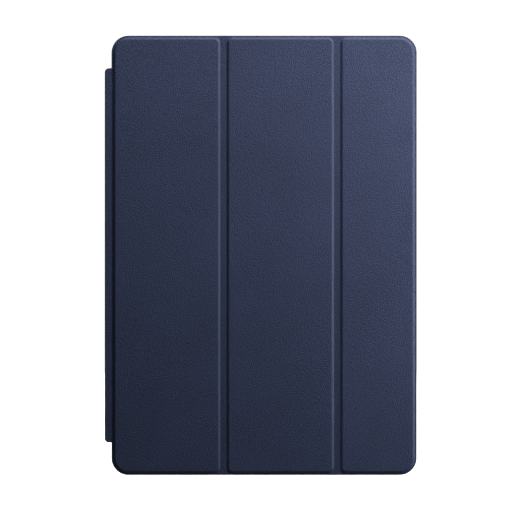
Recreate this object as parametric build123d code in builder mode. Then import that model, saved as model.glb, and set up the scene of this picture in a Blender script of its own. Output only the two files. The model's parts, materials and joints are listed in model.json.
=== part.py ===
"""Tri-fold leather tablet cover with a magnetic side spine, closed flat as it lies on a tablet.

Frame, in millimetres: +X from the spine towards the free edge, +Y from the leather front towards
the tablet, +Z up along the spine. The origin is the centre of the spine's magnetic face, which
sits on the tablet's long side. The cover is a laminate: leather outside, a stiffener board in each
panel, and a microfibre lining against the glass. Leather and lining alone make the folds.
"""

import os
from math import atan2, degrees

from build123d import *

# Driving dimensions
cover_width = 174.1
cover_height = 250.6
corner_radius = 9.7
fold_centres = (64.0, 128.75)
fold_half_width = 1.8
fold_corner_radius = 3.2
board_corner_radius = 2.7

lining_thickness = 0.45
film_thickness = 0.1
board_thickness = 0.8
leather_thickness = 0.8
lining_edge_inset = 0.4

rim_width = 1.0
flank_width = 1.1
board_edge_inset = 1.3

strip_left = -3.9
strip_half_length = 106.8
strip_corner_radius = 2.4
strip_leather_thickness = 0.6
strip_lining_thickness = 0.35

spine_depth = 4.8
spine_thickness = 2.85
spine_half_length = 104.4
spine_back_radius = 2.2
spine_clearance = 0.05
knuckle_depth = 1.15

crease_axis = 0.3
crease_half_width = 0.7

# Depths, measured from the tablet's glass outwards to the leather front
glass_offset = spine_depth / 2 + spine_clearance
rim_depth = lining_thickness + leather_thickness
board_bottom = lining_thickness + film_thickness
board_top = board_bottom + board_thickness
pocket_depth = board_thickness + 2 * film_thickness
raise_height = pocket_depth
flank_taper = degrees(atan2(flank_width, raise_height))
strip_half = (strip_leather_thickness + strip_lining_thickness) / 2

# Positions across the cover
panel_starts = (0.0, fold_centres[0] + fold_half_width, fold_centres[1] + fold_half_width)
panel_ends = (fold_centres[0] - fold_half_width, fold_centres[1] - fold_half_width, cover_width)
crease_left = crease_axis - crease_half_width
crease_right = crease_axis + crease_half_width
knuckle_axis = strip_left + strip_half
crease_gap = 0.3

# Magnets and steel
edge_magnet_count = 14
edge_magnet_pitch = 13.6
edge_magnet_size = (4.8, 8.8)
edge_magnet_thickness = 0.6
edge_magnet_inset = 6.0
pocket_gap = 0.1
sleep_magnet_radius = 3.0
sleep_magnet_centre = (158.0, 0.0)
catch_plate_size = (8.0, 190.0)
catch_plate_thickness = 0.3
catch_plate_centre = 9.0

spine_magnet_count = 7
spine_magnet_pitch = 12.4
spine_magnet_size = (1.2, 2.4, 12.0)
spine_magnet_front = 0.45
spine_group_centre = 52.0
shunt_thickness = 0.3
tray_end_wall = 1.0


def layer(depth):
    """The plane parallel to the glass at a depth outwards from it; +Z of the plane points outwards."""
    return Plane.XZ.offset(glass_offset + depth)


def cover_face(left, right, inset=0.0, fold_radius=0.0):
    """The cover's rounded outline, inset all round and cut to the stretch from left to right."""
    with BuildSketch() as face:
        with Locations((cover_width / 2, 0)):
            RectangleRounded(cover_width - 2 * inset, cover_height - 2 * inset, corner_radius - inset)
        with Locations(((left + right) / 2, 0)):
            Rectangle(right - left, cover_height, mode=Mode.INTERSECT)
        if fold_radius:
            fold_edges = [x for x in (left, right) if 0 < x < cover_width]
            corners = [v for v in face.vertices() if any(abs(v.X - x) < 1e-6 for x in fold_edges)]
            fillet(corners, fold_radius)
    return face.sketch


def spine_notch():
    """The place in the first panel's left rim where the hinge strip joins it."""
    with BuildSketch() as notch:
        with Locations((crease_right - rim_width, 0)):
            Rectangle(2 * rim_width, 2 * (strip_half_length + crease_gap))
    return notch.sketch


def strip_face(left, right, corner=0.0):
    """The hinge strip's face from left to right, with its outer corners rounded."""
    with BuildSketch() as face:
        with Locations(((left + right) / 2, 0)):
            Rectangle(right - left, 2 * strip_half_length)
        if corner:
            fillet(face.vertices().group_by(Axis.X)[0], corner)
    return face.sketch


def fold_face(centre, inset=0.0):
    """The flexible stretch between two panels, inset at its two ends."""
    return cover_face(centre - fold_half_width, centre + fold_half_width, inset)


def board_face(left, right):
    """The stiffener board's outline inside one raised panel."""
    start = left + board_edge_inset if left else rim_width + board_edge_inset
    end = right - board_edge_inset if right < cover_width else cover_width - rim_width - board_edge_inset
    with BuildSketch() as face:
        add(cover_face(start, end, rim_width + board_edge_inset))
        square = [v for v in face.vertices() if abs(v.X - start) < 1e-6 or abs(v.X - end) < 1e-6]
        cut = [v for v in square if abs(abs(v.Y) - cover_height / 2 + rim_width + board_edge_inset) < 1e-6]
        if cut:
            fillet(cut, board_corner_radius)
    return face.sketch


def spine_section(left, right, front, back, radius):
    """A slice across the spine, rounded at the back of its outer side."""
    with BuildSketch() as section:
        with Locations(((left + right) / 2, (front + back) / 2)):
            Rectangle(right - left, back - front)
        fillet(section.vertices().group_by(Axis.Y)[-1].sort_by(Axis.X)[0], radius)
    return section.sketch


def save(builder, label):
    """Labels a finished piece and writes its STEP file."""
    builder.part.label = label
    export_step(builder.part, f"parts/{label}.step")


def edge_magnet_places():
    """Centres of the magnets along the free edge, as points across and up the cover."""
    span = edge_magnet_pitch * (edge_magnet_count - 1)
    x = cover_width - edge_magnet_inset
    return [(x, -span / 2 + i * edge_magnet_pitch) for i in range(edge_magnet_count)]


def spine_magnet_places():
    """Heights of the spine's magnets, in an upper and a lower group."""
    span = spine_magnet_pitch * (spine_magnet_count - 1)
    run = [-span / 2 + i * spine_magnet_pitch for i in range(spine_magnet_count)]
    return [group + z for group in (-spine_group_centre, spine_group_centre) for z in run]


os.makedirs("parts", exist_ok=True)

# Panels: leather, bonding films, board and lining, the same for all three
for index, (start, end) in enumerate(zip(panel_starts, panel_ends), 1):
    raised_start = max(start, rim_width)
    raised_end = min(end, cover_width - rim_width)
    board = board_face(start, end)

    with BuildPart() as leather:
        with BuildSketch(layer(lining_thickness)):
            add(cover_face(start, end))
            if index == 1:
                add(spine_notch(), mode=Mode.SUBTRACT)
        extrude(amount=leather_thickness)
        with BuildSketch(layer(rim_depth)):
            add(cover_face(raised_start, raised_end, rim_width, fold_corner_radius))
        extrude(amount=raise_height, taper=flank_taper)
        with BuildSketch(layer(lining_thickness)):
            add(board)
        extrude(amount=pocket_depth, mode=Mode.SUBTRACT)
    save(leather, f"panel_{index}_leather")

    with BuildPart() as leather_film:
        with BuildSketch(layer(board_top)):
            add(board)
        extrude(amount=film_thickness)
    save(leather_film, f"panel_{index}_leather_film")

    with BuildPart() as stiffener:
        with BuildSketch(layer(board_bottom)):
            add(board)
        extrude(amount=board_thickness)
        if index == 1:
            with BuildSketch(layer(board_bottom)):
                with Locations((catch_plate_centre, 0)):
                    Rectangle(catch_plate_size[0] + pocket_gap, catch_plate_size[1] + pocket_gap)
            extrude(amount=catch_plate_thickness, mode=Mode.SUBTRACT)
        if index == 3:
            with BuildSketch(layer(board_bottom)):
                with Locations(*edge_magnet_places()):
                    Rectangle(edge_magnet_size[0] + pocket_gap, edge_magnet_size[1] + pocket_gap)
                with Locations(sleep_magnet_centre):
                    Circle(sleep_magnet_radius + pocket_gap / 2)
            extrude(amount=board_thickness, mode=Mode.SUBTRACT)
    save(stiffener, f"panel_{index}_stiffener")

    with BuildPart() as lining_film:
        with BuildSketch(layer(lining_thickness)):
            add(board)
        extrude(amount=film_thickness)
    save(lining_film, f"panel_{index}_lining_film")

    with BuildPart() as lining:
        with BuildSketch(layer(0)):
            add(cover_face(start, end, lining_edge_inset))
            if index == 1:
                add(spine_notch(), mode=Mode.SUBTRACT)
        extrude(amount=lining_thickness)
    save(lining, f"panel_{index}_lining")

# Folds: the leather and lining between two panels, with no board
for index, centre in enumerate(fold_centres, 1):
    with BuildPart() as fold_leather:
        with BuildSketch(layer(lining_thickness)):
            add(fold_face(centre))
        extrude(amount=leather_thickness)
    save(fold_leather, f"fold_{index}_leather")

    with BuildPart() as fold_lining:
        with BuildSketch(layer(0)):
            add(fold_face(centre, lining_edge_inset))
        extrude(amount=lining_thickness)
    save(fold_lining, f"fold_{index}_lining")

# Catch plate: the steel strip in the first panel that the free edge's magnets hold to
with BuildPart() as catch_plate:
    with BuildSketch(layer(board_bottom)):
        with Locations((catch_plate_centre, 0)):
            Rectangle(*catch_plate_size)
    extrude(amount=catch_plate_thickness)
save(catch_plate, "catch_plate")

# Free edge: a row of magnets, each with a steel shunt that keeps its field off the front
with BuildPart() as edge_magnets:
    with BuildSketch(layer(board_bottom)):
        with Locations(*edge_magnet_places()):
            Rectangle(*edge_magnet_size)
    extrude(amount=edge_magnet_thickness)
save(edge_magnets, "edge_magnets")

with BuildPart() as edge_shunts:
    with BuildSketch(layer(board_bottom + edge_magnet_thickness)):
        with Locations(*edge_magnet_places()):
            Rectangle(*edge_magnet_size)
    extrude(amount=board_thickness - edge_magnet_thickness)
save(edge_shunts, "edge_magnet_shunts")

# Sleep magnet: the disc that tells the tablet that the cover is shut
with BuildPart() as sleep_magnet:
    with BuildSketch(layer(board_bottom)):
        with Locations(sleep_magnet_centre):
            Circle(sleep_magnet_radius)
    extrude(amount=board_thickness)
save(sleep_magnet, "sleep_magnet")

# Crease: the flexible stretch where the hinge strip meets the first panel
with BuildPart() as crease_leather:
    with BuildSketch(layer(strip_lining_thickness)):
        add(strip_face(crease_left, crease_right))
    extrude(amount=strip_leather_thickness)
save(crease_leather, "crease_leather")

with BuildPart() as crease_lining:
    with BuildSketch(layer(0)):
        add(strip_face(crease_left, crease_right))
    extrude(amount=strip_lining_thickness)
save(crease_lining, "crease_lining")

# Hinge strip: the leather flap over the spine, rounded where it turns on the spine's front edge
with BuildPart() as strip_body:
    with BuildSketch(Plane.XY.offset(-strip_half_length)):
        with Locations((knuckle_axis, -glass_offset - strip_half)):
            Circle(strip_half)
        with Locations(((knuckle_axis + crease_left) / 2, -glass_offset - strip_half)):
            Rectangle(crease_left - knuckle_axis, 2 * strip_half)
    extrude(amount=2 * strip_half_length)
    with BuildSketch(layer(0)):
        add(strip_face(strip_left, crease_left, strip_corner_radius))
    extrude(amount=2 * strip_half, mode=Mode.INTERSECT)

with BuildPart() as strip_leather:
    add(strip_body.part)
    split(bisect_by=layer(strip_lining_thickness), keep=Keep.TOP)
save(strip_leather, "hinge_strip_leather")

with BuildPart() as strip_lining:
    add(strip_body.part)
    split(bisect_by=layer(strip_lining_thickness), keep=Keep.BOTTOM)
save(strip_lining, "hinge_strip_lining")

# Knuckle: the soft leather turn that carries the hinge strip on the spine's outer side
with BuildPart() as knuckle_leather:
    with BuildSketch(Plane.XY.offset(-spine_half_length)):
        with BuildLine():
            Polyline(
                (-spine_thickness, -glass_offset),
                (knuckle_axis, -glass_offset),
                (-spine_thickness, -glass_offset + knuckle_depth),
                close=True,
            )
        make_face()
    extrude(amount=2 * spine_half_length)
save(knuckle_leather, "knuckle_leather")

# Spine: the magnetic bar on the tablet's side, leather round the outside and lining on the inside
spine_left = -spine_thickness
spine_front = -spine_depth / 2
spine_back = spine_depth / 2
core_left = spine_left + strip_leather_thickness
core_back = spine_back - strip_leather_thickness
core_radius = spine_back_radius - strip_leather_thickness
core_half_length = spine_half_length - tray_end_wall
tray_right = -strip_lining_thickness
tray_front = spine_front + strip_lining_thickness
core_section = spine_section(core_left, 0, spine_front, core_back, core_radius)
tray_section = spine_section(core_left, tray_right, tray_front, core_back, core_radius)

with BuildPart() as spine_leather:
    with BuildSketch(Plane.XY.offset(-spine_half_length)):
        add(spine_section(spine_left, 0, spine_front, spine_back, spine_back_radius))
    extrude(amount=2 * spine_half_length)
    with BuildSketch(Plane.XY.offset(-core_half_length)):
        add(core_section)
    extrude(amount=2 * core_half_length, mode=Mode.SUBTRACT)
save(spine_leather, "spine_leather")

with BuildPart() as spine_lining:
    with BuildSketch(Plane.XY.offset(-core_half_length)):
        add(core_section)
        add(tray_section, mode=Mode.SUBTRACT)
    extrude(amount=2 * core_half_length)
save(spine_lining, "spine_lining")

magnet_length, magnet_width, magnet_height = spine_magnet_size
magnet_y = tray_front + spine_magnet_front + magnet_width / 2
magnet_x = tray_right - magnet_length / 2
shunt_x = tray_right - magnet_length - shunt_thickness / 2
shunt_height = spine_magnet_pitch * (spine_magnet_count - 1) + magnet_height
magnet_centres = [(magnet_x, magnet_y, z) for z in spine_magnet_places()]
shunt_centres = [(shunt_x, magnet_y, z) for z in (-spine_group_centre, spine_group_centre)]

with BuildPart() as magnet_tray:
    with BuildSketch(Plane.XY.offset(-core_half_length)):
        add(tray_section)
    extrude(amount=2 * core_half_length)
    with Locations(*magnet_centres):
        Box(magnet_length, magnet_width + pocket_gap, magnet_height + pocket_gap, mode=Mode.SUBTRACT)
    with Locations(*shunt_centres):
        Box(shunt_thickness, magnet_width, shunt_height, mode=Mode.SUBTRACT)
save(magnet_tray, "magnet_tray")

with BuildPart() as spine_magnets:
    with Locations(*magnet_centres):
        Box(magnet_length, magnet_width, magnet_height)
save(spine_magnets, "spine_magnets")

with BuildPart() as spine_shunts:
    with Locations(*shunt_centres):
        Box(shunt_thickness, magnet_width, shunt_height)
save(spine_shunts, "spine_shunts")
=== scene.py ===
"""A tri-fold leather tablet cover with a magnetic spine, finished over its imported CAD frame.

The cover stands upright and shut: +X runs from the spine to the free edge, +Y from the leather
front to the lining, +Z up. Lengths are in metres and depths are measured outwards from the lining's
inner face, so a piece at depth d lies at Y = GLASS_Y - d.
"""

import json
import logging
import math
from dataclasses import dataclass
from enum import Enum
from typing import Callable, Sequence

import bmesh
import bpy
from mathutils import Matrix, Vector


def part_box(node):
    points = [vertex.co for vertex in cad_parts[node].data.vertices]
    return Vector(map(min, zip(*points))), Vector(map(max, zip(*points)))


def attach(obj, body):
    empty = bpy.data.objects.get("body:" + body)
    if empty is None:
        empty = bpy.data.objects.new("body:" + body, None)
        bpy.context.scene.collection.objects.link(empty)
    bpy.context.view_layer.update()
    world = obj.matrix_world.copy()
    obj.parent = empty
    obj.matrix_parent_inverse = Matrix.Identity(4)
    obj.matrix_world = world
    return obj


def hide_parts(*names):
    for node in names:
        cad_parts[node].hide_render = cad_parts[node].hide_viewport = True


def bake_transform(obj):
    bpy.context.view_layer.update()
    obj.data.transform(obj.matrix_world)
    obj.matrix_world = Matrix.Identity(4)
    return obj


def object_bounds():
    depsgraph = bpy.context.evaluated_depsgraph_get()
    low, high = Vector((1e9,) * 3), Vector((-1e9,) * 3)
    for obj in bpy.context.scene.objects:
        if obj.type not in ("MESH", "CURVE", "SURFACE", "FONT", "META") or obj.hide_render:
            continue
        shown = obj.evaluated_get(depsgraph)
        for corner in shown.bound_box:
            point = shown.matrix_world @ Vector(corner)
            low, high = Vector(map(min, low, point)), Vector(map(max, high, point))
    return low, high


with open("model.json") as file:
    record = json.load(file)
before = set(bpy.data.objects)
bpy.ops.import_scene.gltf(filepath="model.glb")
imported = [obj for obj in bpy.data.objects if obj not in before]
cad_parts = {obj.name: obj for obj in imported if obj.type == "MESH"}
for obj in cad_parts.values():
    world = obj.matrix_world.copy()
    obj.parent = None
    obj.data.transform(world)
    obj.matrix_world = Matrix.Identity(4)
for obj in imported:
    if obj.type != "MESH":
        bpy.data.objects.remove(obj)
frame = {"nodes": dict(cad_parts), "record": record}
CAD_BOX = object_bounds()

log = logging.getLogger("tablet_cover")

MM = 0.001
GLASS_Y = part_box("panel_2_lining")[1].y
REST_PLACE = "rest_place"
# Two points nearer than this are the same point
NEAR = 1e-6
# How far a cutting solid reaches past the surface that it cuts
OVERSHOOT = 1 * MM
SHARP_ANGLE = math.radians(35)
SOFT_FOLD_ANGLE = math.radians(40)


class Slot(Enum):
    """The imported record's material slots."""

    LEATHER = "leather"
    LINING = "microfibre_lining"
    BOARD = "glass_fibre_board"
    FILM = "bonding_film"
    TRAY = "tray_nylon"
    STEEL = "steel"
    MAGNET = "magnet_nickel"


def linear(hex_colour: str, alpha: float = 1.0) -> tuple[float, float, float, float]:
    """Turns an sRGB hex colour into linear values.

    Args:
        hex_colour: The colour as "#RRGGBB".
        alpha: The alpha to return with it.

    Returns:
        Linear red, green, blue and the alpha.
    """
    channels = [int(hex_colour[i : i + 2], 16) / 255 for i in (1, 3, 5)]
    values = [c / 12.92 if c <= 0.04045 else ((c + 0.055) / 1.055) ** 2.4 for c in channels]
    return (*values, alpha)


# ---------------------------------------------------------------------------------------------
# Materials
# ---------------------------------------------------------------------------------------------


def add_node(
    tree: bpy.types.NodeTree,
    kind: str,
    settings: dict[str, object] | None = None,
    inputs: dict[str, object] | None = None,
) -> bpy.types.Node:
    """Adds a shader node with its settings and what goes into it.

    Args:
        tree: The node tree to add to.
        kind: The node's type name.
        settings: Attributes of the node, such as its operation.
        inputs: Input name or index to a value, or to the output socket that feeds it.

    Returns:
        The new node.
    """
    node = tree.nodes.new(kind)
    for name, value in (settings or {}).items():
        setattr(node, name, value)
    for key, value in (inputs or {}).items():
        if isinstance(value, bpy.types.NodeSocket):
            tree.links.new(value, node.inputs[key])
        else:
            node.inputs[key].default_value = value
    return node


def new_material(name: str) -> tuple[bpy.types.Material, bpy.types.NodeTree, bpy.types.Node]:
    """Makes an empty node material with a Principled shader on its output.

    Args:
        name: The material's name.

    Returns:
        The material, its node tree and its Principled node.
    """
    material = bpy.data.materials.new(name)
    material.use_nodes = True
    tree = material.node_tree
    tree.nodes.clear()
    shader = add_node(tree, "ShaderNodeBsdfPrincipled")
    add_node(tree, "ShaderNodeOutputMaterial", inputs={"Surface": shader.outputs["BSDF"]})
    return material, tree, shader


@dataclass(frozen=True)
class DyedLeather:
    """Drum-dyed, lightly finished cowhide: a small even pebble grain with a soft satin shine."""

    face: str = "#374265"
    valley: str = "#232C44"
    pebble_mm: float = 0.58
    crease_mm: float = 1.3
    pore_mm: float = 0.3
    tone_patch_mm: float = 38.0
    relief_mm: float = 0.19
    warp_mm: float = 4.0
    groove_share: float = 0.35
    pore_share: float = 0.5
    dye_share: float = 0.16
    roughness: float = 0.52

    def build(self) -> bpy.types.Material:
        """Builds the leather. Its pattern follows the skin, so it bends with the folds."""
        material, tree, shader = new_material("dyed_cowhide")
        place = add_node(tree, "ShaderNodeAttribute", {"attribute_name": REST_PLACE}).outputs["Vector"]
        # A slight warp breaks up the pebbles' rows
        warp = add_node(
            tree,
            "ShaderNodeTexNoise",
            inputs={"Vector": place, "Scale": 1 / (self.warp_mm * MM)},
        )
        shift = add_node(
            tree,
            "ShaderNodeVectorMath",
            {"operation": "SCALE"},
            {0: warp.outputs["Color"], "Scale": self.pebble_mm * MM},
        )
        warped = add_node(
            tree, "ShaderNodeVectorMath", {"operation": "ADD"}, {0: place, 1: shift.outputs[0]}
        ).outputs[0]
        pebble = add_node(
            tree,
            "ShaderNodeTexVoronoi",
            {"feature": "SMOOTH_F1"},
            {"Vector": warped, "Scale": 1 / (self.pebble_mm * MM), "Smoothness": 0.35},
        )
        crease = add_node(
            tree,
            "ShaderNodeTexVoronoi",
            {"feature": "DISTANCE_TO_EDGE"},
            {"Vector": warped, "Scale": 1 / (self.crease_mm * MM)},
        )
        pores = add_node(
            tree,
            "ShaderNodeTexNoise",
            inputs={"Vector": place, "Scale": 1 / (self.pore_mm * MM), "Detail": 3.0, "Roughness": 0.6},
        )
        dome = add_node(
            tree,
            "ShaderNodeMapRange",
            inputs={0: pebble.outputs["Distance"], 1: 0.15, 2: 0.75, 3: 1.0, 4: 0.0},
        )
        groove = add_node(
            tree,
            "ShaderNodeMapRange",
            inputs={0: crease.outputs["Distance"], 1: 0.0, 2: 0.12, 3: 0.0, 4: 1.0},
        )
        grain = add_node(
            tree,
            "ShaderNodeMath",
            {"operation": "MULTIPLY_ADD"},
            {0: groove.outputs[0], 1: self.groove_share, 2: dome.outputs[0]},
        )
        height = add_node(
            tree,
            "ShaderNodeMath",
            {"operation": "MULTIPLY_ADD"},
            {0: pores.outputs[0], 1: self.pore_share, 2: grain.outputs[0]},
        )
        bump = add_node(
            tree,
            "ShaderNodeBump",
            inputs={"Height": height.outputs[0], "Strength": 0.6, "Distance": self.relief_mm * MM},
        )
        tone = add_node(
            tree,
            "ShaderNodeTexNoise",
            inputs={"Vector": place, "Scale": 1 / (self.tone_patch_mm * MM), "Detail": 4.0},
        )
        dye = add_node(
            tree,
            "ShaderNodeMapRange",
            inputs={0: tone.outputs[0], 1: 0.3, 2: 0.7, 3: 0.62, 4: 0.9},
        )
        uptake = add_node(
            tree,
            "ShaderNodeMath",
            {"operation": "MULTIPLY_ADD"},
            {0: grain.outputs[0], 1: self.dye_share, 2: dye.outputs[0]},
        )
        colour = add_node(
            tree,
            "ShaderNodeMix",
            {"data_type": "RGBA"},
            {"Factor": uptake.outputs[0], 6: linear(self.valley), 7: linear(self.face)},
        )
        shine = add_node(
            tree,
            "ShaderNodeMapRange",
            inputs={
                0: pores.outputs[0],
                1: 0.3,
                2: 0.7,
                3: self.roughness - 0.06,
                4: self.roughness + 0.08,
            },
        )
        tree.links.new(colour.outputs[2], shader.inputs["Base Color"])
        tree.links.new(shine.outputs[0], shader.inputs["Roughness"])
        tree.links.new(bump.outputs[0], shader.inputs["Normal"])
        shader.inputs["IOR"].default_value = 1.48
        shader.inputs["Sheen Weight"].default_value = 0.04
        shader.inputs["Sheen Roughness"].default_value = 0.5
        return material


@dataclass(frozen=True)
class Microfibre:
    """Brushed polyester microfibre: a matt, short nap that lies in soft patches and shines at a slant."""

    nap: str = "#343D5B"
    shade: str = "#262E48"
    fibre_mm: float = 0.16
    patch_mm: float = 16.0
    patch_share: float = 0.3

    def build(self) -> bpy.types.Material:
        """Builds the lining's cloth."""
        material, tree, shader = new_material("brushed_microfibre")
        place = add_node(tree, "ShaderNodeAttribute", {"attribute_name": REST_PLACE}).outputs["Vector"]
        # Drawn at about twice the real fibre so that the nap shows
        fibre = add_node(
            tree,
            "ShaderNodeTexNoise",
            inputs={
                "Vector": place,
                "Scale": 1 / (2 * self.fibre_mm * MM),
                "Detail": 4.0,
                "Roughness": 0.7,
            },
        )
        patch = add_node(
            tree,
            "ShaderNodeTexNoise",
            inputs={"Vector": place, "Scale": 1 / (self.patch_mm * MM), "Detail": 3.0, "Distortion": 0.6},
        )
        blend = add_node(
            tree,
            "ShaderNodeMath",
            {"operation": "MULTIPLY_ADD"},
            {0: patch.outputs[0], 1: self.patch_share, 2: fibre.outputs[0]},
        )
        level = add_node(
            tree, "ShaderNodeMapRange", inputs={0: blend.outputs[0], 1: 0.4, 2: 0.9, 3: 0.0, 4: 1.0}
        )
        colour = add_node(
            tree,
            "ShaderNodeMix",
            {"data_type": "RGBA"},
            {"Factor": level.outputs[0], 6: linear(self.shade), 7: linear(self.nap)},
        )
        bump = add_node(
            tree,
            "ShaderNodeBump",
            inputs={"Height": fibre.outputs[0], "Strength": 0.5, "Distance": 0.08 * MM},
        )
        tree.links.new(colour.outputs[2], shader.inputs["Base Color"])
        tree.links.new(bump.outputs[0], shader.inputs["Normal"])
        shader.inputs["Roughness"].default_value = 0.92
        shader.inputs["Sheen Weight"].default_value = 0.35
        shader.inputs["Sheen Roughness"].default_value = 0.35
        shader.inputs["Sheen Tint"].default_value = linear("#8C96B8")
        return material


@dataclass(frozen=True)
class GlassFibreBoard:
    """Woven glass cloth in epoxy: a greenish translucent sheet with a plain square weave."""

    resin: str = "#A9B18F"
    glass: str = "#C9CFB6"
    thread_mm: float = 0.5

    def build(self) -> bpy.types.Material:
        """Builds the stiffener's laminate."""
        material, tree, shader = new_material("epoxy_glass_laminate")
        place = add_node(tree, "ShaderNodeTexCoord").outputs["Object"]
        bands = [
            add_node(
                tree,
                "ShaderNodeTexWave",
                {"wave_type": "BANDS", "bands_direction": direction},
                {"Vector": place, "Scale": math.pi / (10 * self.thread_mm * MM), "Distortion": 0.3},
            )
            for direction in ("X", "Z")
        ]
        weave = add_node(
            tree,
            "ShaderNodeMath",
            {"operation": "MULTIPLY"},
            {0: bands[0].outputs[1], 1: bands[1].outputs[1]},
        )
        colour = add_node(
            tree,
            "ShaderNodeMix",
            {"data_type": "RGBA"},
            {"Factor": weave.outputs[0], 6: linear(self.resin), 7: linear(self.glass)},
        )
        tree.links.new(colour.outputs[2], shader.inputs["Base Color"])
        shader.inputs["Roughness"].default_value = 0.35
        return material


@dataclass(frozen=True)
class PlainFinish:
    """A hidden piece's plain finish: one colour with a fine mottle in its tone and roughness."""

    name: str
    colour: str
    roughness: float
    metallic: float = 0.0
    mottle_mm: float = 1.5
    mottle: float = 0.12

    def build(self) -> bpy.types.Material:
        """Builds the finish."""
        material, tree, shader = new_material(self.name)
        place = add_node(tree, "ShaderNodeTexCoord").outputs["Object"]
        noise = add_node(
            tree,
            "ShaderNodeTexNoise",
            inputs={"Vector": place, "Scale": 1 / (self.mottle_mm * MM), "Detail": 4.0},
        )
        base = linear(self.colour)
        dark = tuple(c * (1 - self.mottle) for c in base[:3]) + (1.0,)
        colour = add_node(
            tree, "ShaderNodeMix", {"data_type": "RGBA"}, {"Factor": noise.outputs[0], 6: dark, 7: base}
        )
        rough = add_node(
            tree,
            "ShaderNodeMapRange",
            inputs={
                0: noise.outputs[0],
                1: 0.3,
                2: 0.7,
                3: self.roughness - 0.05,
                4: self.roughness + 0.05,
            },
        )
        tree.links.new(colour.outputs[2], shader.inputs["Base Color"])
        tree.links.new(rough.outputs[0], shader.inputs["Roughness"])
        shader.inputs["Metallic"].default_value = self.metallic
        return material


class Finishes:
    """Every finish of the cover, built once and shared by its pieces."""

    def __init__(self) -> None:
        """Builds the materials, one per slot of the record."""
        recipes = {
            Slot.LEATHER: DyedLeather(),
            Slot.LINING: Microfibre(),
            Slot.BOARD: GlassFibreBoard(),
            # Acrylic transfer tape: a milky, faintly yellow film
            Slot.FILM: PlainFinish("acrylic_transfer_film", "#D9D5C2", 0.3),
            # Glass-filled nylon: matt charcoal, slightly uneven from the mould
            Slot.TRAY: PlainFinish("moulded_nylon", "#1B1C1F", 0.55),
            # Cold-rolled steel strip: a dull grey with a fine rolled texture
            Slot.STEEL: PlainFinish("cold_rolled_steel", "#9A9C9F", 0.38, metallic=1.0),
            # Nickel plate on sintered magnets: bright and slightly warm
            Slot.MAGNET: PlainFinish("nickel_plate", "#C9C5BC", 0.22, metallic=1.0, mottle=0.06),
        }
        self.materials = {slot: recipe.build() for slot, recipe in recipes.items()}

    def dress(self, piece: bpy.types.Object, slot: Slot) -> None:
        """Gives a piece its material.

        Args:
            piece: The piece to dress.
            slot: The slot that its finish comes from.
        """
        piece.data.materials.clear()
        piece.data.materials.append(self.materials[slot])


# ---------------------------------------------------------------------------------------------
# Modelling with operators
# ---------------------------------------------------------------------------------------------


def activate(piece: bpy.types.Object) -> None:
    """Makes a piece the only selected and active object."""
    bpy.ops.object.select_all(action="DESELECT")
    piece.select_set(True)
    bpy.context.view_layer.objects.active = piece


def select_edges(piece: bpy.types.Object, test: Callable[[bmesh.types.BMEdge], bool]) -> None:
    """In edit mode, selects the edges that pass a test.

    Args:
        piece: The piece in edit mode.
        test: True for an edge to select.
    """
    bpy.ops.mesh.select_mode(type="EDGE")
    bpy.ops.mesh.select_all(action="DESELECT")
    mesh = bmesh.from_edit_mesh(piece.data)
    for edge in mesh.edges:
        edge.select_set(test(edge))
    bmesh.update_edit_mesh(piece.data)


def select_faces(piece: bpy.types.Object, test: Callable[[bmesh.types.BMFace], bool]) -> None:
    """In edit mode, selects the faces that pass a test.

    Args:
        piece: The piece in edit mode.
        test: True for a face to select.
    """
    bpy.ops.mesh.select_mode(type="FACE")
    bpy.ops.mesh.select_all(action="DESELECT")
    mesh = bmesh.from_edit_mesh(piece.data)
    for face in mesh.faces:
        face.select_set(test(face))
    bmesh.update_edit_mesh(piece.data)


def middle(edge: bmesh.types.BMEdge) -> Vector:
    """The middle point of an edge."""
    return (edge.verts[0].co + edge.verts[1].co) / 2


def along(edge: bmesh.types.BMEdge, axis: int) -> bool:
    """True if an edge runs along a row axis."""
    way = edge.verts[1].co - edge.verts[0].co
    return abs(way[axis]) > 0.999 * way.length


def apply_modifier(piece: bpy.types.Object, kind: str, **settings: object) -> None:
    """Adds a modifier and applies it.

    Args:
        piece: The piece to change.
        kind: The modifier's type.
        **settings: Its settings.
    """
    activate(piece)
    modifier = piece.modifiers.new(kind.lower(), kind)
    for name, value in settings.items():
        setattr(modifier, name, value)
    bpy.ops.object.modifier_apply(modifier=modifier.name)


@dataclass(frozen=True)
class Plate:
    """A flat plate parallel to the glass, with corners rounded on its left and its right.

    Depths run outwards from the lining's inner face. Heights are the same above and below Z = 0.
    """

    left: float
    right: float
    half_height: float
    inner: float
    outer: float
    left_radius: float = 0.0
    right_radius: float = 0.0

    def build(self, name: str) -> bpy.types.Object:
        """Models the plate from a cube.

        Args:
            name: The new piece's name.

        Returns:
            The plate, with its place in its mesh.
        """
        bpy.ops.object.select_all(action="DESELECT")
        centre = ((self.left + self.right) / 2, GLASS_Y - (self.inner + self.outer) / 2, 0)
        bpy.ops.mesh.primitive_cube_add(size=1, location=centre)
        plate = bpy.context.object
        plate.name = plate.data.name = name
        plate.scale = (self.right - self.left, self.outer - self.inner, 2 * self.half_height)
        bpy.ops.object.transform_apply(location=True, rotation=True, scale=True)
        bpy.ops.object.mode_set(mode="EDIT")
        for side, radius in ((self.left, self.left_radius), (self.right, self.right_radius)):
            if radius:
                select_edges(plate, lambda e, s=side: along(e, 1) and abs(middle(e).x - s) < NEAR)
                segments = max(6, round(radius / MM * 1.6))
                bpy.ops.mesh.bevel(offset=radius, segments=segments, affect="EDGES")
        bpy.ops.object.mode_set(mode="OBJECT")
        return plate


def front_face(face: bmesh.types.BMFace) -> bool:
    """True for a face that looks straight out from the tablet."""
    return face.normal.y < -0.999


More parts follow.
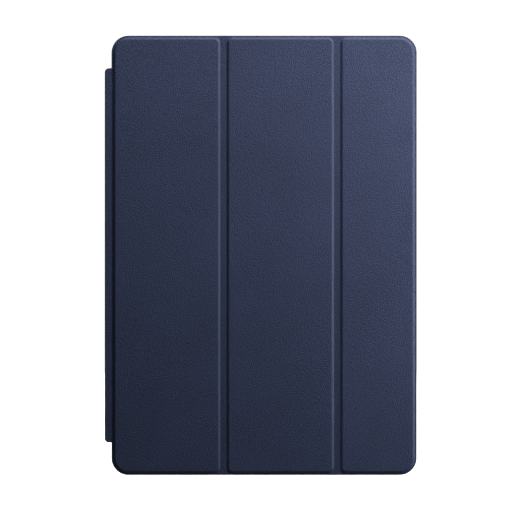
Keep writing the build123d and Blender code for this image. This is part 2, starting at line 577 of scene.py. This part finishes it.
def raise_front(piece: bpy.types.Object, slope: float, height: float, crown: float) -> None:
    """Raises the front of a plate on a sloped flank with a rounded top edge.

    Args:
        piece: The plate.
        slope: The flank's width.
        height: The height that the front is raised by.
        crown: The width of the rounding along the flank's top.
    """
    activate(piece)
    bpy.ops.object.mode_set(mode="EDIT")
    select_faces(piece, front_face)
    bpy.ops.mesh.inset(thickness=slope, depth=height, use_even_offset=True)
    select_faces(piece, front_face)
    bpy.ops.mesh.region_to_loop()
    bpy.ops.mesh.bevel(offset=crown, segments=5, affect="EDGES")
    bpy.ops.object.mode_set(mode="OBJECT")


def round_front(piece: bpy.types.Object, width: float, straight: Sequence[float]) -> None:
    """Rounds the front edges of a plate, but not those that run along the given sides.

    Args:
        piece: The plate.
        width: The width of the rounding.
        straight: Positions across the cover of the sides that stay square.
    """
    front = min(vertex.co.y for vertex in piece.data.vertices)
    activate(piece)
    bpy.ops.object.mode_set(mode="EDIT")
    select_edges(
        piece,
        lambda e: all(abs(v.co.y - front) < NEAR for v in e.verts)
        and not any(all(abs(v.co.x - side) < NEAR for v in e.verts) for side in straight),
    )
    bpy.ops.mesh.bevel(offset=width, segments=5, affect="EDGES")
    bpy.ops.object.mode_set(mode="OBJECT")


def smooth(piece: bpy.types.Object) -> None:
    """Smooths a piece's shading, and keeps its flats flat and its sharp lines sharp."""
    activate(piece)
    bpy.ops.object.shade_smooth_by_angle(angle=SHARP_ANGLE)
    apply_modifier(piece, "WEIGHTED_NORMAL", keep_sharp=True)


def combine(piece: bpy.types.Object, tool: bpy.types.Object, operation: str) -> None:
    """Joins a second solid to a piece or cuts it away, and removes the second solid.

    Args:
        piece: The piece that stays.
        tool: The solid to add or take away.
        operation: "UNION" or "DIFFERENCE".
    """
    apply_modifier(piece, "BOOLEAN", object=tool, operation=operation, solver="EXACT")
    bpy.data.objects.remove(tool)


def soften(piece: bpy.types.Object, width: float) -> None:
    """Rounds a piece's hard edges and smooths its shading.

    Args:
        piece: The piece to soften.
        width: The width of the rounding.
    """
    apply_modifier(
        piece,
        "BEVEL",
        width=width,
        segments=3,
        limit_method="ANGLE",
        angle_limit=math.radians(30),
        use_clamp_overlap=True,
    )
    bpy.ops.object.shade_smooth()
    apply_modifier(piece, "WEIGHTED_NORMAL", keep_sharp=True)


def keep_rest_place(piece: bpy.types.Object) -> None:
    """Stores each point's place at rest, so that the grain stays on the skin when it bends."""
    attribute = piece.data.attributes.new(REST_PLACE, "FLOAT_VECTOR", "POINT")
    places = [value for vertex in piece.data.vertices for value in vertex.co]
    attribute.data.foreach_set("vector", places)


@dataclass(frozen=True)
class Bend:
    """A flexible strip across a joint: its plate, and the names of the bodies on its two sides."""

    plate: Plate
    first: str
    second: str
    faces_across: int = 20

    def build(self, name: str) -> bpy.types.Object:
        """Models the strip with enough faces across to bend smoothly.

        Args:
            name: The new piece's name.

        Returns:
            The strip.
        """
        strip = self.plate.build(name)
        activate(strip)
        bpy.ops.object.mode_set(mode="EDIT")
        select_edges(strip, lambda e: along(e, 0))
        bpy.ops.mesh.subdivide_edgering(number_cuts=self.faces_across - 1)
        bpy.ops.object.mode_set(mode="OBJECT")
        return strip

    def join(self, strip: bpy.types.Object) -> None:
        """Bakes the finished strip's place into its mesh."""
        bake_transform(strip)


# ---------------------------------------------------------------------------------------------
# The cover's sub-assemblies
# ---------------------------------------------------------------------------------------------


@dataclass(frozen=True)
class Laminate:
    """Sizes that the panels and the folds share.

    The raised face starts face_root below the rim's front so that the two join as one solid. At a
    fold the lining lies channel deep, pressed in from the panels' linings.
    """

    lining: float = 0.45 * MM
    leather: float = 0.8 * MM
    pocket: float = 1.0 * MM
    rim: float = 1.0 * MM
    slope: float = 1.1 * MM
    crown: float = 0.55 * MM
    lining_inset: float = 0.4 * MM
    lining_edge: float = 0.17 * MM
    channel: float = 0.18 * MM
    corner: float = 9.7 * MM
    fold_corner: float = 3.2 * MM
    board_inset: float = 1.3 * MM
    board_corner: float = 2.7 * MM
    edge: float = 0.28 * MM
    face_root: float = 0.3 * MM
    notch_clearance: float = 0.05 * MM

    @property
    def rim_depth(self) -> float:
        """Depth of the leather's front where there is no board."""
        return self.lining + self.leather

    @property
    def half_height(self) -> float:
        """Half the cover's height."""
        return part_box("panel_2_leather")[1].z

    @property
    def width(self) -> float:
        """Position of the free edge."""
        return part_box("panel_3_leather")[1].x


@dataclass
class Panel:
    """One stiffened panel: its leather face, drawn over the board, and its lining."""

    number: int
    sizes: Laminate
    finishes: Finishes

    def __post_init__(self) -> None:
        """Reads the panel's sides from its CAD leather."""
        low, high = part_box(f"panel_{self.number}_leather")
        self.left, self.right = low.x, high.x
        self.outer_left = self.left < NEAR
        self.outer_right = self.right > self.sizes.width - NEAR

    def leather(self) -> bpy.types.Object:
        """Models the leather: a turned rim, and a face raised by the board on a soft flank."""
        s = self.sizes
        corner_left = s.corner if self.outer_left else 0.0
        corner_right = s.corner if self.outer_right else 0.0
        skin = Plate(
            self.left, self.right, s.half_height, s.lining, s.rim_depth, corner_left, corner_right
        ).build(f"panel_{self.number}_skin")
        folds = [
            side
            for side, outer in ((self.left, self.outer_left), (self.right, self.outer_right))
            if not outer
        ]
        round_front(skin, s.edge, folds)
        if self.number == 1:
            combine(skin, self.strip_notch(s.lining - OVERSHOOT, s.rim_depth + OVERSHOOT), "DIFFERENCE")
        face = Plate(
            self.left + (s.rim if self.outer_left else 0),
            self.right - (s.rim if self.outer_right else 0),
            s.half_height - s.rim,
            s.rim_depth - s.face_root,
            s.rim_depth,
            corner_left - s.rim if self.outer_left else s.fold_corner,
            corner_right - s.rim if self.outer_right else s.fold_corner,
        ).build("face")
        raise_front(face, s.slope, s.pocket, s.crown)
        combine(skin, face, "UNION")
        low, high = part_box(f"panel_{self.number}_stiffener")
        pocket = Plate(
            low.x,
            high.x,
            high.z,
            s.lining - OVERSHOOT,
            s.lining + s.pocket,
            s.corner - s.rim - s.board_inset if self.outer_left else s.board_corner,
            s.corner - s.rim - s.board_inset if self.outer_right else s.board_corner,
        ).build("pocket")
        combine(skin, pocket, "DIFFERENCE")
        smooth(skin)
        keep_rest_place(skin)
        self.finishes.dress(skin, Slot.LEATHER)
        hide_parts(f"panel_{self.number}_leather")
        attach(skin, f"panel_{self.number}")
        return skin

    def lining(self) -> bpy.types.Object:
        """Models the lining that covers the board and meets the glass."""
        s = self.sizes
        radius = s.corner - s.lining_inset
        cloth = Plate(
            self.left + (s.lining_inset if self.outer_left else 0),
            self.right - (s.lining_inset if self.outer_right else 0),
            s.half_height - s.lining_inset,
            0.0,
            s.lining,
            radius if self.outer_left else 0.0,
            radius if self.outer_right else 0.0,
        ).build(f"panel_{self.number}_cloth")
        if self.number == 1:
            combine(cloth, self.strip_notch(-OVERSHOOT, s.rim_depth), "DIFFERENCE")
        soften(cloth, s.lining_edge)
        keep_rest_place(cloth)
        self.finishes.dress(cloth, Slot.LINING)
        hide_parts(f"panel_{self.number}_lining")
        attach(cloth, f"panel_{self.number}")
        return cloth

    def strip_notch(self, inner: float, outer: float) -> bpy.types.Object:
        """The place in the rim where the hinge strip joins the panel, as a solid to cut away."""
        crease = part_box("crease_leather")
        half_height = crease[1].z + self.sizes.notch_clearance
        return Plate(-OVERSHOOT, crease[1].x, half_height, inner, outer).build("notch")

    def build(self) -> list[bpy.types.Object]:
        """Builds the panel's visible pieces."""
        return [self.leather(), self.lining()]


@dataclass
class Fold:
    """The soft fold between two panels: leather and lining with no board between."""

    number: int
    sizes: Laminate
    finishes: Finishes

    def build(self) -> list[bpy.types.Object]:
        """Builds the fold's leather and its lining, each spanning the two panels."""
        s = self.sizes
        low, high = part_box(f"fold_{self.number}_leather")
        bodies = (f"panel_{self.number}", f"panel_{self.number + 1}")
        layers = (
            ("skin", "leather", Slot.LEATHER, s.half_height, s.lining, s.rim_depth),
            ("cloth", "lining", Slot.LINING, s.half_height - s.lining_inset, s.channel, s.lining),
        )
        pieces = []
        for name, node, slot, half_height, inner, outer in layers:
            bend = Bend(Plate(low.x, high.x, half_height, inner, outer), *bodies)
            strip = bend.build(f"fold_{self.number}_{name}")
            bpy.ops.object.shade_smooth_by_angle(angle=SOFT_FOLD_ANGLE)
            keep_rest_place(strip)
            self.finishes.dress(strip, slot)
            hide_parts(f"fold_{self.number}_{node}")
            bend.join(strip)
            pieces.append(strip)
        return pieces


@dataclass
class HingeStrip:
    """The leather strip over the spine, with the crease that joins it to the first panel."""

    finishes: Finishes
    leather: float = 0.6 * MM
    lining: float = 0.35 * MM
    corner: float = 2.4 * MM
    turn: float = 0.57 * MM
    lining_inset: float = 0.25 * MM

    def strip(self) -> list[bpy.types.Object]:
        """Builds the strip's leather and lining, rounded along its outer side."""
        low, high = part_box("hinge_strip_leather")
        depth = self.leather + self.lining
        pieces = []
        layers = (
            ("hinge_strip_skin", "hinge_strip_leather", Slot.LEATHER, 0.0, self.lining, depth),
            ("hinge_strip_cloth", "hinge_strip_lining", Slot.LINING, self.lining_inset, 0.0, self.lining),
        )
        for name, node, slot, inset, inner, outer in layers:
            plate = Plate(
                low.x + inset, high.x, high.z - inset, inner, outer, self.corner - inset, 0.0
            ).build(name)
            if slot is Slot.LEATHER:
                round_front(plate, self.turn, (high.x,))
            smooth(plate)
            keep_rest_place(plate)
            self.finishes.dress(plate, slot)
            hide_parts(node)
            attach(plate, "hinge_strip")
            pieces.append(plate)
        return pieces

    def crease(self) -> list[bpy.types.Object]:
        """Builds the crease's leather and lining, spanning the strip and the panel."""
        low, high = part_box("crease_leather")
        pieces = []
        layers = (
            ("crease_skin", "crease_leather", Slot.LEATHER, self.lining, self.lining + self.leather),
            ("crease_cloth", "crease_lining", Slot.LINING, 0.0, self.lining),
        )
        for name, node, slot, inner, outer in layers:
            bend = Bend(Plate(low.x, high.x, high.z, inner, outer), "hinge_strip", "panel_1", 12)
            strip = bend.build(name)
            bpy.ops.object.shade_smooth_by_angle(angle=SOFT_FOLD_ANGLE)
            keep_rest_place(strip)
            self.finishes.dress(strip, slot)
            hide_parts(node)
            bend.join(strip)
            pieces.append(strip)
        return pieces

    def build(self) -> list[bpy.types.Object]:
        """Builds the strip and its crease."""
        return self.strip() + self.crease()


@dataclass
class Spine:
    """The magnetic bar: leather round the outside, lining on the face that meets the tablet."""

    finishes: Finishes
    edge: float = 0.12 * MM

    def solid_copy(self, node: str, name: str) -> bpy.types.Object:
        """Copies a CAD solid as a merged mesh ready for softening.

        Args:
            node: The CAD node to copy.
            name: The new piece's name.

        Returns:
            The copy.
        """
        source = frame["nodes"][node]
        copy = bpy.data.objects.new(name, source.data.copy())
        bpy.context.scene.collection.objects.link(copy)
        activate(copy)
        bpy.ops.object.mode_set(mode="EDIT")
        bpy.ops.mesh.select_all(action="SELECT")
        bpy.ops.mesh.remove_doubles(threshold=NEAR)
        bpy.ops.mesh.dissolve_limited(angle_limit=math.radians(0.5))
        bpy.ops.object.mode_set(mode="OBJECT")
        return copy

    def build(self) -> list[bpy.types.Object]:
        """Builds the spine's leather and lining, and the turn that carries the strip."""
        pieces = []
        for node, name, slot in (
            ("spine_leather", "spine_skin", Slot.LEATHER),
            ("spine_lining", "spine_cloth", Slot.LINING),
            ("knuckle_leather", "knuckle_skin", Slot.LEATHER),
        ):
            piece = self.solid_copy(node, name)
            soften(piece, self.edge)
            keep_rest_place(piece)
            self.finishes.dress(piece, slot)
            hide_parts(node)
            if node == "knuckle_leather":
                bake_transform(piece)
            else:
                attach(piece, "spine")
            pieces.append(piece)
        return pieces


@dataclass
class Core:
    """The hidden boards, films, magnets and steel, which keep their CAD shapes."""

    finishes: Finishes

    def build(self) -> list[bpy.types.Object]:
        """Dresses each hidden node in its own finish."""
        slots = {part["node"]: Slot(part["material_slot"]) for part in frame["record"]["subparts"]}
        pieces = []
        for node, slot in slots.items():
            if slot not in (Slot.LEATHER, Slot.LINING):
                self.finishes.dress(frame["nodes"][node], slot)
                pieces.append(frame["nodes"][node])
        return pieces


# ---------------------------------------------------------------------------------------------
# The studio
# ---------------------------------------------------------------------------------------------


@dataclass
class Studio:
    """A white room with a soft key light from the upper right."""

    aim: Vector
    floor_height: float
    room_radius: float = 5.0
    glow: float = 1.1
    fill: float = 0.048
    view_width: float = 0.2952
    lens: float = 200.0
    frame_offset: tuple[float, float] = (-2.9 * MM, -2.1 * MM)

    def white(self, name: str) -> bpy.types.Material:
        """A matt white that glows a little, so the room stays plain."""
        material, _, shader = new_material(name)
        shader.inputs["Base Color"].default_value = linear("#F4F4F2")
        shader.inputs["Roughness"].default_value = 0.9
        shader.inputs["Emission Color"].default_value = linear("#FFFFFF")
        shader.inputs["Emission Strength"].default_value = self.glow
        return material

    def room(self) -> None:
        """Adds the pale floor and the plain surround, which light nothing themselves."""
        bpy.ops.object.select_all(action="DESELECT")
        centre = (self.aim.x, 0, self.floor_height)
        bpy.ops.mesh.primitive_circle_add(
            vertices=96, radius=self.room_radius, fill_type="NGON", location=centre
        )
        floor = bpy.context.object
        floor.name = "studio_floor"
        floor.data.materials.append(self.white("floor_paint"))
        bpy.ops.mesh.primitive_uv_sphere_add(
            segments=64, ring_count=32, radius=self.room_radius, location=centre
        )
        surround = bpy.context.object
        surround.name = "studio_surround"
        surround.data.materials.append(self.white("surround_paint"))
        for stage in (floor, surround):
            stage.visible_diffuse = False
            stage.visible_glossy = False
            stage.visible_shadow = False

    def light(self, name: str, place: Sequence[float], size: tuple[float, float], power: float) -> None:
        """Adds a soft light aimed at the cover.

        Args:
            name: The light's name.
            place: Its place relative to the cover's centre.
            size: Its width and height.
            power: Its power in watts.
        """
        data = bpy.data.lights.new(name, "AREA")
        data.shape = "RECTANGLE"
        data.size, data.size_y = size
        data.energy = power
        lamp = bpy.data.objects.new(name, data)
        lamp.location = self.aim + Vector(place)
        lamp.rotation_euler = (-Vector(place)).to_track_quat("-Z", "Y").to_euler()
        bpy.context.scene.collection.objects.link(lamp)

    def world(self) -> None:
        """Fills the room with an even, dim light."""
        world = bpy.data.worlds.new("studio_world")
        world.use_nodes = True
        background = world.node_tree.nodes["Background"]
        background.inputs["Color"].default_value = linear("#FFFFFF")
        background.inputs["Strength"].default_value = self.fill
        bpy.context.scene.world = world

    def camera(self) -> None:
        """Adds a long-lens camera that looks straight at the leather front."""
        data = bpy.data.cameras.new("camera")
        data.lens = self.lens
        camera = bpy.data.objects.new("camera", data)
        distance = self.lens / data.sensor_width * self.view_width
        camera.location = self.aim + Vector((self.frame_offset[0], -distance, self.frame_offset[1]))
        camera.rotation_euler = (math.pi / 2, 0, 0)
        data.clip_start, data.clip_end = 0.05, 50
        bpy.context.scene.collection.objects.link(camera)
        bpy.context.scene.camera = camera

    def build(self) -> None:
        """Builds the room, its lights and the camera."""
        bpy.context.scene.view_settings.view_transform = "Standard"
        self.room()
        self.world()
        self.light("key", (0.29, -0.24, 0.32), (0.16, 0.16), 1.9)
        self.light("top_strip", (0.02, -0.05, 0.42), (0.45, 0.05), 0.95)
        self.light("right_strip", (0.19, -0.03, 0.0), (0.03, 0.3), 0.21)
        self.light("low_fill", (0.0, -0.1, -0.5), (0.4, 0.2), 0.09)
        self.light("back", (-0.4, 1.2, 0.5), (0.8, 0.8), 15.0)
        self.camera()


def main() -> None:
    """Builds the cover and its studio."""
    logging.basicConfig(level=logging.INFO, format="%(name)s: %(message)s")
    finishes = Finishes()
    sizes = Laminate()
    assemblies = [Panel(number, sizes, finishes) for number in (1, 2, 3)]
    assemblies += [Fold(number, sizes, finishes) for number in (1, 2)]
    assemblies += [HingeStrip(finishes), Spine(finishes), Core(finishes)]
    for assembly in assemblies:
        for piece in assembly.build():
            log.info("%s: %d faces", piece.name, len(piece.data.polygons))
    low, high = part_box("panel_1_leather")[0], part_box("panel_3_leather")[1]
    Studio(Vector(((low.x + high.x) / 2, low.y, 0)), CAD_BOX[0].z).build()


if __name__ == "__main__":
    main()
